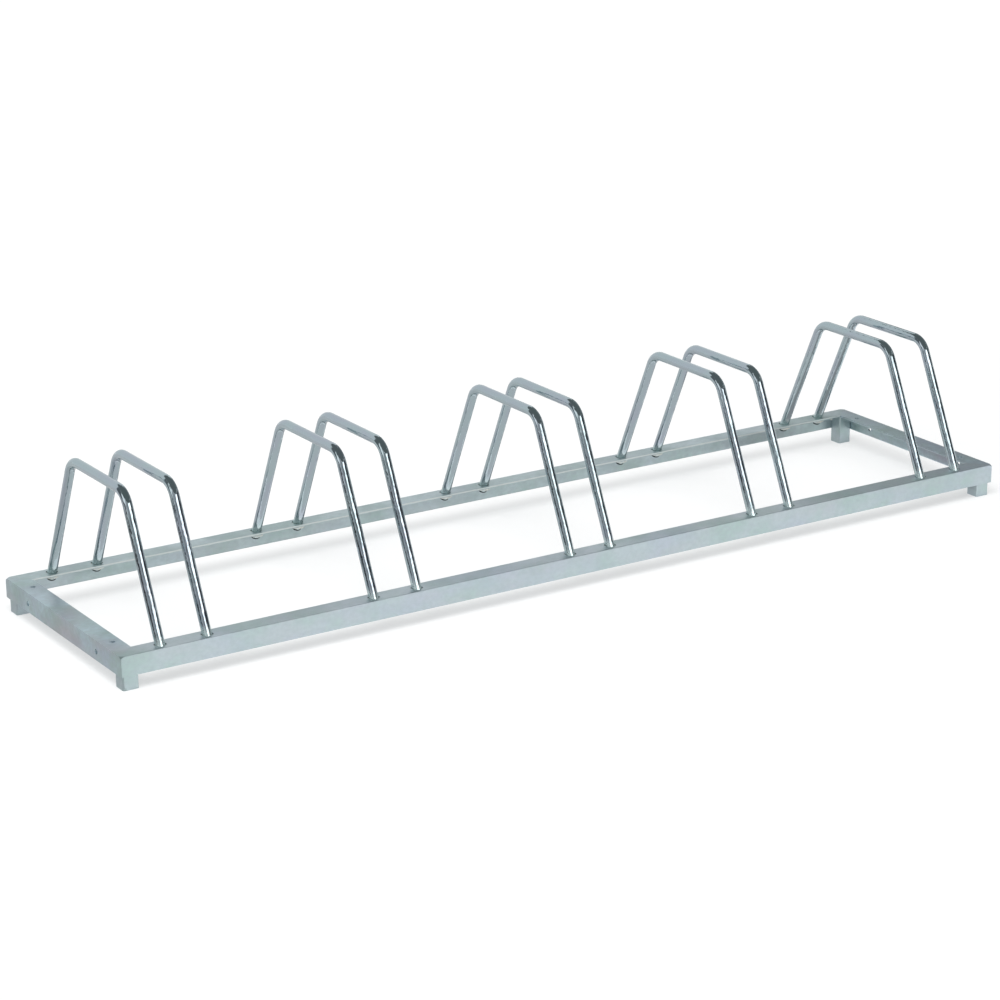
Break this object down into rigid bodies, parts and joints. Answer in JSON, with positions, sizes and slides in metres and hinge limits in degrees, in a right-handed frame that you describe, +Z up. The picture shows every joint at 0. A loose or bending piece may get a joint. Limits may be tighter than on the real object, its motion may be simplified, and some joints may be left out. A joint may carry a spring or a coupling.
{
  "type": "floor bike rack",
  "caption": "Low floor rack in zinc-plated steel: an angle-iron frame on short square feet carries pairs of bent round-bar hoops that hold bicycle wheels upright.",
  "frame": {"origin": "on the floor, under the middle of the rectangular frame", "axes": "+X along the rack, from its left end to its right end as seen from the front; +Y to the rear; +Z up"},
  "size_m": [1.3, 0.32, 0.212],
  "materials": {
    "zinc_plated_angle": "satin bright zinc plate on rolled angle",
    "zinc_plated_bar": "bright zinc plate on drawn bar, near mirror",
    "zinc_plated_tube": "satin bright zinc plate on square tube",
    "zinc_plated_weld": "zinc plate on weld metal, rough"
  },
  "bodies": {
    "root": {"front_rail": "zinc_plated_angle", "rear_rail": "zinc_plated_angle", "left_end_rail": "zinc_plated_angle", "right_end_rail": "zinc_plated_angle", "hoop_1_left": "zinc_plated_bar", "hoop_1_right": "zinc_plated_bar", "hoop_2_left": "zinc_plated_bar", "hoop_2_right": "zinc_plated_bar", "hoop_3_left": "zinc_plated_bar", "hoop_3_right": "zinc_plated_bar", "hoop_4_left": "zinc_plated_bar", "hoop_4_right": "zinc_plated_bar", "hoop_5_left": "zinc_plated_bar", "hoop_5_right": "zinc_plated_bar", "hoop_weld_1_left": "zinc_plated_weld", "hoop_weld_1_right": "zinc_plated_weld", "hoop_weld_2_left": "zinc_plated_weld", "hoop_weld_2_right": "zinc_plated_weld", "hoop_weld_3_left": "zinc_plated_weld", "hoop_weld_3_right": "zinc_plated_weld", "hoop_weld_4_left": "zinc_plated_weld", "hoop_weld_4_right": "zinc_plated_weld", "hoop_weld_5_left": "zinc_plated_weld", "hoop_weld_5_right": "zinc_plated_weld", "foot_front_left": "zinc_plated_tube", "foot_front_right": "zinc_plated_tube", "foot_rear_left": "zinc_plated_tube", "foot_rear_right": "zinc_plated_tube", "foot_weld_front_left": "zinc_plated_weld", "foot_weld_front_right": "zinc_plated_weld", "foot_weld_rear_left": "zinc_plated_weld", "foot_weld_rear_right": "zinc_plated_weld", "corner_weld_front_left": "zinc_plated_weld", "corner_weld_front_right": "zinc_plated_weld", "corner_weld_rear_left": "zinc_plated_weld", "corner_weld_rear_right": "zinc_plated_weld"}
  },
  "joints": []
}
